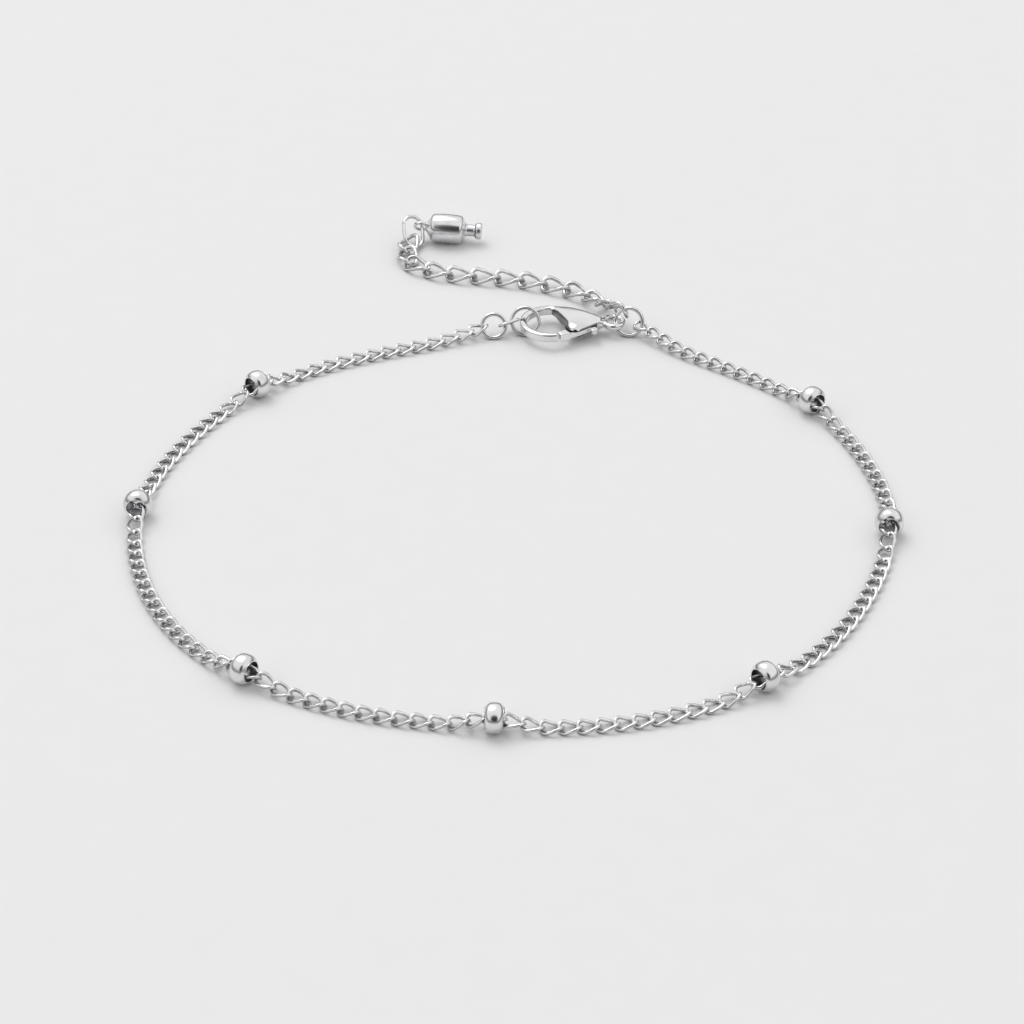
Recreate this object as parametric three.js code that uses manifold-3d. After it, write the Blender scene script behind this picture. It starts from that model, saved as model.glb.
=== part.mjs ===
// Chain anklet: a fine curb chain threaded through seven drum beads, closed by a lobster clasp,
// with an extender of larger curb links and a turned end drop. It lies on a flat surface.
// Millimetres, +Z up. The links of each chain half are joined where they bear on each other.
import * as THREE from "three";
import { mergeVertices } from "three/addons/utils/BufferGeometryUtils.js";
import Module from "manifold-3d";

const wasm = await Module();
wasm.setup();

// Fine curb chain
const CHAIN_LINK_LENGTH = 2.4;
const CHAIN_LINK_WIDTH = 1.8;
const CHAIN_WIRE = 0.38;
const CHAIN_TWIST = 45;
const HALVES_SLACK = 0.1;

// Larger curb links of the extender
const EXTENDER_LINK_LENGTH = 3.7;
const EXTENDER_LINK_WIDTH = 2.6;
const EXTENDER_WIRE = 0.48;
const EXTENDER_TWIST = 45;

// Drum beads
const BEAD_DIAMETER = 3.0;
const BEAD_LENGTH = 1.8;
const BEAD_EDGE = 0.28;
const BEAD_BORE_CLEARANCE = 0.14;
const BEAD_SIDES = 12;

// Jump rings and the small plain link between the two on the left
const RING_WIRE = 0.46;
const CHAIN_RING_DIAMETER = 3.06;
const HOOK_RING_DIAMETER = 3.46;
const TAIL_RING_DIAMETER = 3.5;
const DROP_RING_LENGTH = 4.1;
const DROP_RING_WIDTH = 2.8;
const RING_SIDES = 12;
const RING_WIRE_SIDES = 5;
const JOIN_LINK_LENGTH = 2.8;
const JOIN_LINK_WIDTH = 1.6;
const JOIN_LINK_WIRE = 0.38;

// Lobster clasp, seen flat: hook on the left, tail eye on the right
const CLASP_LENGTH = 9.3;
const CLASP_WIDTH = 6.6;
const CLASP_THICKNESS = 1.5;
const CLASP_LIFT = 0.62;
const CLASP_EDGE = 0.22;
const HOOK_BAR = 0.7;
const HOOK_TIP_LAP = 0.1;
const HOOK_TIP_ANGLE = 282;
const NECK_WIDTH = 1.1;
// Where the egg's sides bend towards the neck, as shares of the clasp's length and half width.
const SHOULDER_AT = 0.645;
const WAIST_AT = 0.85;
const WAIST_WIDTH = 0.41;
const EYE_DIAMETER = 2.86;
const EYE_WIRE = 0.76;
const TAIL_RING_BESIDE_EYE = { x: 1.7377, y: -0.2783 };
const PIN_DIAMETER = 0.68;
const PIN_CLEARANCE = 0.08;
// The pivot's place, as shares of the clasp's length and half width.
const PIVOT_AT = 0.785;
const PIVOT_BELOW_MIDDLE = 0.3485;
const HUB_RADIUS = 0.6;
const CHEEK_RADIUS = 2.25;
const CHEEK_GAP = 0.15;
const GATE_THICKNESS = 1.3;
const TONGUE_THICKNESS = 0.6;
const GATE_CLEARANCE = 0.1;

// Turned end drop
const DROP_DIAMETER = 3.5;
const DROP_LENGTH = 3.5;
const DROP_CHAMFER = 0.45;
const DROP_CONE = 0.8;
const DROP_NECK_DIAMETER = 1.4;
const DROP_NECK_LENGTH = 1.15;
const DROP_FLANGE_DIAMETER = 2.0;
const DROP_FLANGE_THICKNESS = 0.75;
const DROP_EYE_DIAMETER = 1.9;
const DROP_EYE_WIRE = 0.42;
const DROP_SIDES = 12;

const LINK_SIDES = 10;
const LINK_WIRE_SIDES = 5;
const DEGREE = Math.PI / 180;

// Rings and the clasp: place on the surface, turn about the vertical and lean from lying flat.
const CHAIN_RING_PLACE = { x: -2.1, y: 34.8, turn: 0.5, lean: 55.4 };
const JOIN_LINK_PLACE = { x: -0.4, y: 35.3, z: 1.42, turn: 38.5, lean: -36.4, pitch: -3.3 };
const HOOK_RING_PLACE = { x: 1.42, y: 35.6, turn: -2.6, lean: 54.6 };
const CLASP_PLACE = { x: 0.8, y: 34.95, turn: 3 };
const DROP_RING_PLACE = { x: -11.64, y: 55.66, z: 1.69, turn: 95.7, lean: 22, pitch: 43.4 };
const DROP_PLACE = { x: -10.74, y: 56.51, turn: -4.4, pitch: -2.9, roll: 30.3 };

// The tail eye's middle in the clasp's own plane and on the surface, and the ring that hangs in it.
const eyeAlong = CLASP_LENGTH + EYE_DIAMETER / 2 - EYE_WIRE / 3;
const eyeTurn = CLASP_PLACE.turn * DEGREE;
const tailRing = {
  x: CLASP_PLACE.x + eyeAlong * Math.cos(eyeTurn) + TAIL_RING_BESIDE_EYE.x,
  y: CLASP_PLACE.y + eyeAlong * Math.sin(eyeTurn) + TAIL_RING_BESIDE_EYE.y,
  turn: -10.7,
  lean: 64.5,
};
const besideTailRing = ([x, y, raise]) => [tailRing.x + x, tailRing.y + y, raise];

// Where the fine chain lies, from its left end round the front to its right end:
// x, y and how far it is raised above lying flat, where it climbs to its jump rings.
// The last three points are given from the tail ring's middle.
const CHAIN_ROUTE = [
  [-3.0, 34.9, 0.75], [-5.3, 33.9, 0.38], [-8.8, 32.4, 0.06], [-14.6, 30.3, 0.01], [-20.3, 27.7, 0],
  [-25.6, 24.1, 0], [-30.3, 19.2, 0], [-34.3, 12.7, 0], [-37.3, 4.8, 0], [-38.2, -4.0, 0],
  [-36.5, -12.8, 0], [-33.0, -20.3, 0], [-28.5, -25.7, 0], [-23.7, -29.3, 0], [-18.7, -31.9, 0],
  [-13.8, -33.7, 0], [-8.8, -34.8, 0], [-3.9, -35.5, 0], [1.1, -35.8, 0], [6.0, -35.7, 0],
  [10.9, -35.0, 0], [15.9, -33.6, 0], [20.9, -31.3, 0], [25.7, -27.8, 0], [30.2, -23.1, 0],
  [34.1, -16.6, 0], [37.2, -8.3, 0], [38.3, 0.9, 0], [36.6, 9.8, 0], [33.3, 17.3, 0],
  [28.8, 22.8, 0], [23.7, 27.0, 0],
  ...[[5.4, -4.32, 0.12], [3.4, -2.32, 0.4], [0.9, -0.02, 0.8]].map(besideTailRing),
];
// How far along the chain each bead sits, from the chain's left end.
const BEAD_PLACES = [27.9, 53.7, 85.4, 110.5, 137.3, 167.2, 191.5];

// Where the extender lies, from the tail ring to the drop's ring: x, y and the raise.
// The first two points are given from the tail ring's middle.
const EXTENDER_ROUTE = [
  ...[[-0.6, 0.38, 2.2], [-1.6, 2.78, 1.2]].map(besideTailRing),
  [10.2, 40.3, 0.3], [8.4, 42.7, 0.05], [5.8, 44.4, 0.02],
  [3.0, 45.5, 0], [0.2, 46.4, 0], [-2.4, 46.8, 0], [-5.2, 47.2, 0], [-7.8, 47.7, 0],
  [-10.2, 48.7, 0], [-12.0, 50.2, 0], [-12.6, 51.5, 0.03], [-12.4, 53.0, 0.08], [-12.0, 55.7, 0.15],
];

// Turn of the curb links about their own run where they climb to the tail ring.
const CHAIN_END_ROLL = 16;
const EXTENDER_START_ROLL = 37;
const ROLL_REACH = 5;
// Length of chain over which it climbs into each bead.
const BEAD_CLIMB = 5.2;

const steel = (name, roughness) =>
  new THREE.MeshStandardMaterial({ name, color: 0xd4d5d7, metalness: 1, roughness });

function solidOf(geometry) {
  const bare = geometry.clone();
  bare.deleteAttribute("normal");
  bare.deleteAttribute("uv");
  const merged = mergeVertices(bare, 1e-4);
  const vertProperties = merged.attributes.position.array;
  const triVerts = new Uint32Array(merged.index.array);
  return new wasm.Manifold(new wasm.Mesh({ numProp: 3, vertProperties, triVerts }));
}

function geometryOf(solid) {
  const mesh = solid.getMesh();
  const geometry = new THREE.BufferGeometry();
  geometry.setAttribute("position", new THREE.BufferAttribute(mesh.vertProperties.slice(), 3));
  geometry.setIndex(new THREE.BufferAttribute(mesh.triVerts.slice(), 1));
  geometry.computeVertexNormals();
  return geometry;
}

// Corner n of a link: step i round the oval, corner j round the wire, j = 0 outermost.
const cornerOf = (i, j) => (i % LINK_SIDES) * LINK_WIRE_SIDES + (j % LINK_WIRE_SIDES);

// A link is a ring stretched into an oval along X and then twisted about X, so that its two ends
// lean opposite ways. A flat of the wire faces inwards across each end.
function linkCorners({ length, width, wire, twist }) {
  const halfStep = Math.PI / LINK_SIDES;
  const wireRadius = wire / 2;
  const bend = width / 2 - wireRadius;
  const stretch = length / (2 * Math.cos(halfStep)) - bend - wireRadius;
  const torus = new THREE.TorusGeometry(bend, wireRadius, LINK_WIRE_SIDES, LINK_SIDES);
  torus.rotateZ(-halfStep);
  const corners = [];
  for (let i = 0; i < LINK_SIDES; i++) {
    for (let j = 0; j < LINK_WIRE_SIDES; j++) {
      const corner = new THREE.Vector3();
      corner.fromBufferAttribute(torus.attributes.position, j * (LINK_SIDES + 1) + i);
      corner.x += (stretch * corner.x) / Math.hypot(corner.x, corner.y);
      const along = THREE.MathUtils.clamp(corner.x / (length / 2 - wireRadius), -1, 1);
      const turn = -twist * DEGREE * Math.sin((Math.PI / 2) * along);
      corners.push(corner.applyAxisAngle(new THREE.Vector3(1, 0, 0), turn));
    }
  }
  return corners;
}

// Distance from link to link when each bears on the next.
const linkPitch = ({ length, wire }) =>
  length - Math.cos(Math.PI / LINK_SIDES) * wire * (1 + Math.cos(Math.PI / LINK_WIRE_SIDES));

const lyingHeight = (size) => -new THREE.Box3().setFromPoints(linkCorners(size)).min.z;

const INNER = Math.floor(LINK_WIRE_SIDES / 2);
const endFacet = (i) => [
  cornerOf(i, INNER), cornerOf(i + 1, INNER), cornerOf(i + 1, INNER + 1), cornerOf(i, INNER + 1),
];
const FRONT_FACET = endFacet(0);
const BACK_FACET = endFacet(LINK_SIDES / 2);

// Brings the corners of two facing end facets together, so that the links share them.
function bearOn(link, next) {
  const free = [...BACK_FACET];
  for (const mine of FRONT_FACET) {
    free.sort((a, b) => link[mine].distanceTo(next[a]) - link[mine].distanceTo(next[b]));
    const theirs = next[free.shift()];
    theirs.copy(link[mine].lerp(theirs, 0.5));
  }
}

// One body of links, each placed by its frame and joined to the next one's facing facet.
function chainGeometry(size, frames) {
  const shape = linkCorners(size);
  const links = frames.map((frame) => shape.map((corner) => corner.clone().applyMatrix4(frame)));
  for (let n = 0; n + 1 < links.length; n++) {
    bearOn(links[n], links[n + 1]);
  }
  const index = [];
  links.forEach((link, n) => {
    const shift = n * shape.length;
    for (let i = 0; i < LINK_SIDES; i++) {
      for (let j = 0; j < LINK_WIRE_SIDES; j++) {
        const joinedInFront = i === 0 && j === INNER && n + 1 < links.length;
        const joinedBehind = i === LINK_SIDES / 2 && j === INNER && n > 0;
        if (joinedInFront || joinedBehind) {
          continue;
        }
        const [a, b] = [shift + cornerOf(i, j), shift + cornerOf(i + 1, j)];
        const [c, d] = [shift + cornerOf(i + 1, j + 1), shift + cornerOf(i, j + 1)];
        index.push(a, b, c, a, c, d);
      }
    }
  });
  const geometry = new THREE.BufferGeometry().setFromPoints(links.flat());
  geometry.setIndex(index);
  return mergeVertices(geometry, 1e-5);
}

// A route's curve with its third column as the raise above the height at which the links lie.
function routeCurve(route, size) {
  const height = lyingHeight(size);
  const points = route.map(([x, y, raise]) => new THREE.Vector3(x, y, height + raise));
  const curve = new THREE.CatmullRomCurve3(points, false, "centripetal");
  curve.arcLengthDivisions = 3000;
  return curve;
}

// The frame of a link whose two bearing points are given: X along them, Z up but for the roll.
function linkFrame(from, to, roll) {
  const along = new THREE.Vector3().subVectors(to, from).normalize();
  const side = new THREE.Vector3(0, 0, 1).cross(along).normalize().applyAxisAngle(along, roll);
  const up = new THREE.Vector3().crossVectors(along, side);
  const middle = new THREE.Vector3().addVectors(from, to).multiplyScalar(0.5);
  return new THREE.Matrix4().makeBasis(along, side, up).setPosition(middle);
}

const fade = (distance, reach) =>
  distance < reach ? (1 + Math.cos((Math.PI * distance) / reach)) / 2 : 0;

// The fine chain
const chainSize = {
  length: CHAIN_LINK_LENGTH, width: CHAIN_LINK_WIDTH, wire: CHAIN_WIRE, twist: CHAIN_TWIST,
};
const chainCurve = routeCurve(CHAIN_ROUTE, chainSize);
const chainLength = chainCurve.getLength();
const chainPitch = linkPitch(chainSize);
const chainCount = Math.round((chainLength + HALVES_SLACK) / chainPitch);
const chainStep = (chainLength + HALVES_SLACK) / chainCount;
const beadAxisHeight = (BEAD_DIAMETER / 2) * Math.cos(Math.PI / BEAD_SIDES);
const climb = beadAxisHeight - lyingHeight(chainSize);

function chainPoint(distance) {
  const point = chainCurve.getPointAt(THREE.MathUtils.clamp(distance / chainLength, 0, 1));
  for (const place of BEAD_PLACES) {
    point.z += climb * fade(Math.abs(distance - place), BEAD_CLIMB);
  }
  return point;
}

function chainFrames(first, last, slack) {
  const frames = [];
  for (let n = first; n < last; n++) {
    const start = n * chainStep - slack;
    const roll = CHAIN_END_ROLL * DEGREE * fade(chainLength - start, ROLL_REACH);
    frames.push(linkFrame(chainPoint(start), chainPoint(start + chainStep), roll));
  }
  return frames;
}

const frontBead = BEAD_PLACES[Math.floor(BEAD_PLACES.length / 2)];
const leftCount = Math.round(frontBead / chainStep);

// The extender
const extenderSize = {
  length: EXTENDER_LINK_LENGTH, width: EXTENDER_LINK_WIDTH, wire: EXTENDER_WIRE, twist: EXTENDER_TWIST,
};
const extenderCurve = routeCurve(EXTENDER_ROUTE, extenderSize);
const extenderLength = extenderCurve.getLength();
const extenderCount = Math.round(extenderLength / linkPitch(extenderSize));
const extenderStep = extenderLength / extenderCount;

function extenderFrames() {
  const frames = [];
  for (let n = 0; n < extenderCount; n++) {
    const from = extenderCurve.getPointAt(n / extenderCount);
    const to = extenderCurve.getPointAt((n + 1) / extenderCount);
    const roll = EXTENDER_START_ROLL * DEGREE * fade(n * extenderStep, 2 * ROLL_REACH);
    frames.push(linkFrame(from, to, roll));
  }
  return frames;
}

// A drum bead: bored, with a flat band, bevelled edges and flat ends, turned about X.
function beadGeometry() {
  const bore = (CHAIN_LINK_WIDTH / 2 + BEAD_BORE_CLEARANCE) / Math.cos(Math.PI / BEAD_SIDES);
  const radius = BEAD_DIAMETER / 2;
  const half = BEAD_LENGTH / 2;
  const profile = [
    [bore, -half], [radius - BEAD_EDGE, -half], [radius, -half + BEAD_EDGE],
    [radius, half - BEAD_EDGE], [radius - BEAD_EDGE, half], [bore, half], [bore, -half],
  ].map(([r, along]) => new THREE.Vector2(r, along));
  const geometry = new THREE.LatheGeometry(profile, BEAD_SIDES);
  geometry.rotateY(Math.PI / BEAD_SIDES);
  geometry.rotateZ(-Math.PI / 2);
  return geometry;
}

// Rings are round, leaned from lying flat, turned, and stood on the surface.
function ringGeometry(diameter, wire, { x, y, turn, lean }) {
  const bend = (diameter - wire) / 2;
  const geometry = new THREE.TorusGeometry(bend, wire / 2, RING_WIRE_SIDES, RING_SIDES);
  geometry.rotateX(lean * DEGREE);
  geometry.rotateZ(turn * DEGREE);
  geometry.computeBoundingBox();
  geometry.translate(x, y, -geometry.boundingBox.min.z);
  return geometry;
}

// A plain flat oval link, placed by its centre.
function ovalGeometry(length, width, wire, { x, y, z, turn, lean, pitch }) {
  const frame = new THREE.Matrix4().makeTranslation(x, y, z);
  frame.multiply(new THREE.Matrix4().makeRotationZ(turn * DEGREE));
  frame.multiply(new THREE.Matrix4().makeRotationY(-pitch * DEGREE));
  frame.multiply(new THREE.Matrix4().makeRotationX(lean * DEGREE));
  return chainGeometry({ length, width, wire, twist: 0 }, [frame]);
}

// Lobster clasp. Seen flat its outline is an egg: round at the hook, drawn in to the neck.
const hookRadius = CLASP_WIDTH / 2;
const PIVOT = new THREE.Vector2(PIVOT_AT * CLASP_LENGTH, -PIVOT_BELOW_MIDDLE * hookRadius);
const hookInner = hookRadius - HOOK_BAR;
const middleHeight = CLASP_THICKNESS / 2;

function extruded(shape, thickness, edge) {
  const geometry = new THREE.ExtrudeGeometry(shape, {
    depth: thickness - 2 * edge,
    bevelEnabled: edge > 0,
    bevelThickness: edge,
    bevelSize: edge,
    bevelOffset: -edge,
    bevelSegments: 1,
    curveSegments: 7,
  });
  geometry.translate(0, 0, middleHeight - thickness / 2 + edge);
  return solidOf(geometry);
}

function upright(radius, height, x, y, sides = 12) {
  const geometry = new THREE.CylinderGeometry(radius, radius, height, sides);
  geometry.rotateX(Math.PI / 2);
  geometry.translate(x, y, middleHeight);
  return solidOf(geometry);
}

function eggOutline() {
  const shape = new THREE.Shape();
  shape.absarc(hookRadius, 0, hookRadius, Math.PI / 2, 1.5 * Math.PI, false);
  const [near, far] = [SHOULDER_AT * CLASP_LENGTH, WAIST_AT * CLASP_LENGTH];
  const [wide, narrow] = [hookRadius, WAIST_WIDTH * hookRadius];
  shape.bezierCurveTo(near, -wide, far, -narrow, CLASP_LENGTH, -NECK_WIDTH / 2);
  shape.lineTo(CLASP_LENGTH, NECK_WIDTH / 2);
  shape.bezierCurveTo(far, narrow, near, wide, hookRadius, hookRadius);
  return shape;
}

const polar = (radius, degrees) =>
  new THREE.Vector2(Math.cos(degrees * DEGREE), Math.sin(degrees * DEGREE)).multiplyScalar(radius);

const hookCentre = new THREE.Vector2(hookRadius + HOOK_TIP_LAP, 0);
const innerTip = polar(hookInner, HOOK_TIP_ANGLE).add(hookCentre);
const tipRadius = innerTip.distanceTo(PIVOT);
const tipTurn = innerTip.clone().sub(PIVOT).angle();
const OUTSIDE = 1.3 * hookRadius;
const HOLE_START = 80 * DEGREE;
const MOUTH_START = 228 * DEGREE;
const CHEEK_START = 240 * DEGREE;
const CHEEK_END = 165 * DEGREE;

// The hook's round opening and the mouth that the gate closes, cut in one.
function mouthOutline() {
  const shape = new THREE.Shape();
  const start = polar(hookInner, HOLE_START / DEGREE).add(hookCentre);
  shape.moveTo(start.x, start.y);
  shape.absarc(hookCentre.x, 0, hookInner, HOLE_START, HOOK_TIP_ANGLE * DEGREE, false);
  shape.absarc(PIVOT.x, PIVOT.y, tipRadius, tipTurn, MOUTH_START, false);
  shape.absarc(PIVOT.x, PIVOT.y, CHEEK_RADIUS, CHEEK_START, CHEEK_END, true);
  return shape;
}

// The gate's outline from its end face to the hub, left open past the egg's near edge.
function gateOutline() {
  const shape = new THREE.Shape();
  const endRadius = tipRadius - GATE_CLEARANCE;
  const start = polar(endRadius, tipTurn / DEGREE).add(PIVOT);
  shape.moveTo(start.x, start.y);
  shape.absarc(PIVOT.x, PIVOT.y, endRadius, tipTurn, MOUTH_START, false);
  shape.lineTo(PIVOT.x, -OUTSIDE);
  shape.lineTo(PIVOT.x + HUB_RADIUS, PIVOT.y - HUB_RADIUS);
  shape.absarc(PIVOT.x, PIVOT.y, HUB_RADIUS, 0, Math.PI / 2, false);
  return shape;
}

// The slot between the cheeks, as wide as the gate needs shut and open.
function slotOutline() {
  const back = PIVOT.y + HUB_RADIUS + GATE_CLEARANCE;
  const right = PIVOT.x + 2 * HUB_RADIUS + GATE_CLEARANCE;
  const left = PIVOT.x - CHEEK_RADIUS - HUB_RADIUS;
  return new THREE.Shape([
    new THREE.Vector2(left, -OUTSIDE), new THREE.Vector2(right, -OUTSIDE),
    new THREE.Vector2(right, back), new THREE.Vector2(left, back),
  ]);
}

const egg = extruded(eggOutline(), CLASP_THICKNESS, CLASP_EDGE);
const tall = 2 * CLASP_THICKNESS;

function claspBody() {
  const slot = extruded(slotOutline(), TONGUE_THICKNESS + 2 * GATE_CLEARANCE, 0);
  const pin = upright(PIN_DIAMETER / 2, CLASP_THICKNESS - CLASP_EDGE, PIVOT.x, PIVOT.y);
  const bend = (EYE_DIAMETER - EYE_WIRE) / 2;
  const eye = new THREE.TorusGeometry(bend, EYE_WIRE / 2, 6, 10);
  eye.translate(eyeAlong, 0, middleHeight);
  return egg.subtract(extruded(mouthOutline(), tall, 0)).subtract(slot).add(pin).add(solidOf(eye));
}

function claspGate() {
  const band = egg.intersect(extruded(gateOutline(), tall, 0));
  const tongue = egg.intersect(extruded(gateOutline(), TONGUE_THICKNESS, 0));
  const thick = band.intersect(extruded(gateOutline(), GATE_THICKNESS, 0));
  const cheeks = upright(CHEEK_RADIUS + CHEEK_GAP, tall, PIVOT.x, PIVOT.y, 36);
  const lug = PIVOT.clone().add(new THREE.Vector2(1.5 * HUB_RADIUS, -HUB_RADIUS));
  const thumb = upright(0.75 * HUB_RADIUS, TONGUE_THICKNESS, lug.x, lug.y);
  const hole = upright(PIN_DIAMETER / 2 + PIN_CLEARANCE, tall, PIVOT.x, PIVOT.y);
  return thick.subtract(cheeks).add(tongue).add(thumb).subtract(hole);
}

// The end drop, turned about X with its eye at the origin: eye, cone, barrel, neck and flange.
function dropGeometry() {
  const bend = (DROP_EYE_DIAMETER - DROP_EYE_WIRE) / 2;
  const eye = new THREE.TorusGeometry(bend, DROP_EYE_WIRE / 2, 6, 10);
  eye.rotateX((90 + DROP_PLACE.roll) * DEGREE);
  const radius = DROP_DIAMETER / 2;
  const start = bend - DROP_EYE_WIRE / 2;
  const barrel = start + DROP_CONE;
  const shoulder = barrel + DROP_LENGTH;
  const neck = shoulder + DROP_CHAMFER;
  const flange = neck + DROP_NECK_LENGTH;
  const end = flange + DROP_FLANGE_THICKNESS;
  const profile = [
    [0, start], [DROP_EYE_WIRE, start], [radius, barrel], [radius, shoulder],
    [DROP_NECK_DIAMETER / 2, neck], [DROP_NECK_DIAMETER / 2, flange],
    [DROP_FLANGE_DIAMETER / 2, flange], [DROP_FLANGE_DIAMETER / 2, end], [0, end],
  ].map(([r, along]) => new THREE.Vector2(r, along));
  const turned = new THREE.LatheGeometry(profile, DROP_SIDES);
  turned.rotateZ(-Math.PI / 2);
  return geometryOf(solidOf(turned).add(solidOf(eye)));
}

// The assembly
const anklet = new THREE.Group();

function place(name, geometry, material, parent = anklet) {
  geometry.computeVertexNormals();
  const mesh = new THREE.Mesh(geometry, material);
  mesh.name = name;
  parent.add(mesh);
  return mesh;
}

place("chain_left", chainGeometry(chainSize, chainFrames(0, leftCount, 0)), steel("chain", 0.22));
place(
  "chain_right",
  chainGeometry(chainSize, chainFrames(leftCount, chainCount, HALVES_SLACK)),
  steel("chain", 0.22),
);

BEAD_PLACES.forEach((distance, n) => {
  const bead = place(`bead_${n + 1}`, beadGeometry(), steel("bead", 0.08));
  const [from, to] = [chainPoint(distance - 0.5), chainPoint(distance + 0.5)];
  bead.position.copy(chainPoint(distance)).setZ(beadAxisHeight);
  bead.rotation.z = Math.atan2(to.y - from.y, to.x - from.x);
});

place("ring_chain", ringGeometry(CHAIN_RING_DIAMETER, RING_WIRE, CHAIN_RING_PLACE), steel("ring", 0.15));
place("link_join", ovalGeometry(JOIN_LINK_LENGTH, JOIN_LINK_WIDTH, JOIN_LINK_WIRE, JOIN_LINK_PLACE),
  steel("ring", 0.15));
place("ring_hook", ringGeometry(HOOK_RING_DIAMETER, RING_WIRE, HOOK_RING_PLACE), steel("ring", 0.15));
place("ring_tail", ringGeometry(TAIL_RING_DIAMETER, RING_WIRE, tailRing), steel("ring", 0.15));

const clasp = new THREE.Group();
clasp.position.set(CLASP_PLACE.x, CLASP_PLACE.y, CLASP_LIFT);
clasp.rotation.z = CLASP_PLACE.turn * DEGREE;
anklet.add(clasp);
place("clasp_body", geometryOf(claspBody()), steel("clasp", 0.1), clasp);
place("clasp_gate", geometryOf(claspGate()), steel("clasp", 0.1), clasp);

place("extender_chain", chainGeometry(extenderSize, extenderFrames()), steel("extender", 0.18));
place("ring_drop", ovalGeometry(DROP_RING_LENGTH, DROP_RING_WIDTH, RING_WIRE, DROP_RING_PLACE),
  steel("ring", 0.15));

const drop = place("end_drop", dropGeometry(), steel("drop", 0.08));
drop.rotation.set(0, -DROP_PLACE.pitch * DEGREE, DROP_PLACE.turn * DEGREE, "ZYX");
drop.updateMatrix();
const dropBox = new THREE.Box3().setFromBufferAttribute(
  drop.geometry.attributes.position.clone().applyMatrix4(drop.matrix),
);
drop.position.set(DROP_PLACE.x, DROP_PLACE.y, -dropBox.min.z);

// The origin is under the middle of the whole piece, on the surface it lies on.
anklet.updateMatrixWorld(true);
const extent = new THREE.Box3().setFromObject(anklet, true);
const middle = extent.getCenter(new THREE.Vector3());
anklet.position.set(-middle.x, -middle.y, -extent.min.z);

export default anklet;
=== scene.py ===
# %% [markdown]
# # A chain anklet of polished steel
# The anklet lies on a pale table: a fine curb chain through seven drum beads, a lobster clasp,
# and an extender of larger curb links with a turned end drop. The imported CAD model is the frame,
# so every piece below takes its place from it, and only its look is made here.

# %% The frame
import math

import bpy

from mathutils import Matrix, Vector


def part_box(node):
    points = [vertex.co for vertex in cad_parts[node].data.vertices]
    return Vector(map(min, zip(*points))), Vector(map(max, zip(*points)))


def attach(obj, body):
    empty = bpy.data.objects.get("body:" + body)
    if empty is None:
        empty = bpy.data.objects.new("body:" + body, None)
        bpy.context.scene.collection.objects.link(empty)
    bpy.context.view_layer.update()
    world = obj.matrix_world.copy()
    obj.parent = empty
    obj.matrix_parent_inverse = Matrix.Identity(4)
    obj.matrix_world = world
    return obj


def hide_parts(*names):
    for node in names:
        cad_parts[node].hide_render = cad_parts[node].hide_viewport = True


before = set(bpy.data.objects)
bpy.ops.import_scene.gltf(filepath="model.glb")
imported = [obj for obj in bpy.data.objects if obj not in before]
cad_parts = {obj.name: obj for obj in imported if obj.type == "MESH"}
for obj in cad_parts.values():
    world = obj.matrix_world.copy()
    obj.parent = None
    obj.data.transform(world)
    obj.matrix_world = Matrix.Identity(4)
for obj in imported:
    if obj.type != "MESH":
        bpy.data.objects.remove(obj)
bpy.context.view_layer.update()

# %% [markdown]
# ## Sizes
# A maker notes the sizes in millimetres. Blender works in metres here, so one factor turns them.
# The route's points are those of the model, and one ring's middle tells how far the model was
# shifted to put its origin on the table under the middle of the whole piece.

# %% Millimetres and the place of the route
MM = 0.001
CHAIN_RING_AT = (-2.1, 34.8)


def middle_of(node):
    low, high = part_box(node)
    return (low + high) / 2 / MM


def shift_of_route():
    middle = middle_of("ring_chain")
    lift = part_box("ring_chain")[0].z / MM
    return Vector((middle.x - CHAIN_RING_AT[0], middle.y - CHAIN_RING_AT[1], lift))


ROUTE_SHIFT = shift_of_route()
print("route shift (mm):", [round(v, 4) for v in ROUTE_SHIFT])

# %% [markdown]
# ## Working by hand, in code
# Blender merges points and cuts shapes best at a comfortable size, so every piece is modelled
# with one unit for a millimetre, and shrunk only when it is set down in its place. An operator
# acts on what is selected, so each step first lets go of everything. These few helpers stand for
# the maker's own moves: take one piece, pick faces or edges, keep what a modifier made.

# %% Taking a piece and keeping what a modifier made
def let_go():
    if bpy.context.mode != "OBJECT":
        bpy.ops.object.mode_set(mode="OBJECT")
    bpy.ops.object.select_all(action="DESELECT")


def take(*objects):
    let_go()
    for thing in objects:
        thing.select_set(True)
    bpy.context.view_layer.objects.active = objects[0]
    return objects[0]


def keep_modifier(piece, kind, **settings):
    take(piece)
    modifier = piece.modifiers.new(kind.title(), kind)
    for name, value in settings.items():
        setattr(modifier, name, value)
    bpy.ops.object.modifier_apply(modifier=modifier.name)
    return piece


def cut(piece, tool, operation="DIFFERENCE"):
    keep_modifier(piece, "BOOLEAN", operation=operation, object=tool, solver="EXACT")
    bpy.data.objects.remove(tool)
    return piece


let_go()
print("mode:", bpy.context.mode)


# %% Picking parts of a mesh
SELECT_MODES = {"vertices": "VERT", "edges": "EDGE", "polygons": "FACE"}


def pick(piece, kind, wanted):
    take(piece)
    bpy.ops.object.mode_set(mode="EDIT")
    bpy.ops.mesh.select_mode(type=SELECT_MODES[kind])
    bpy.ops.mesh.select_all(action="DESELECT")
    bpy.ops.object.mode_set(mode="OBJECT")
    for part in getattr(piece.data, kind):
        part.select = bool(wanted(part))
    bpy.ops.object.mode_set(mode="EDIT")


print("what can be picked:", ", ".join(SELECT_MODES))


# %% Closing up and joining
def close_up(piece, smooth_under=40):
    take(piece)
    bpy.ops.object.mode_set(mode="EDIT")
    bpy.ops.mesh.select_all(action="SELECT")
    bpy.ops.mesh.remove_doubles(threshold=0.0005)
    bpy.ops.mesh.normals_make_consistent(inside=False)
    bpy.ops.object.mode_set(mode="OBJECT")
    bpy.ops.object.shade_smooth_by_angle(angle=math.radians(smooth_under))
    return piece


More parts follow.
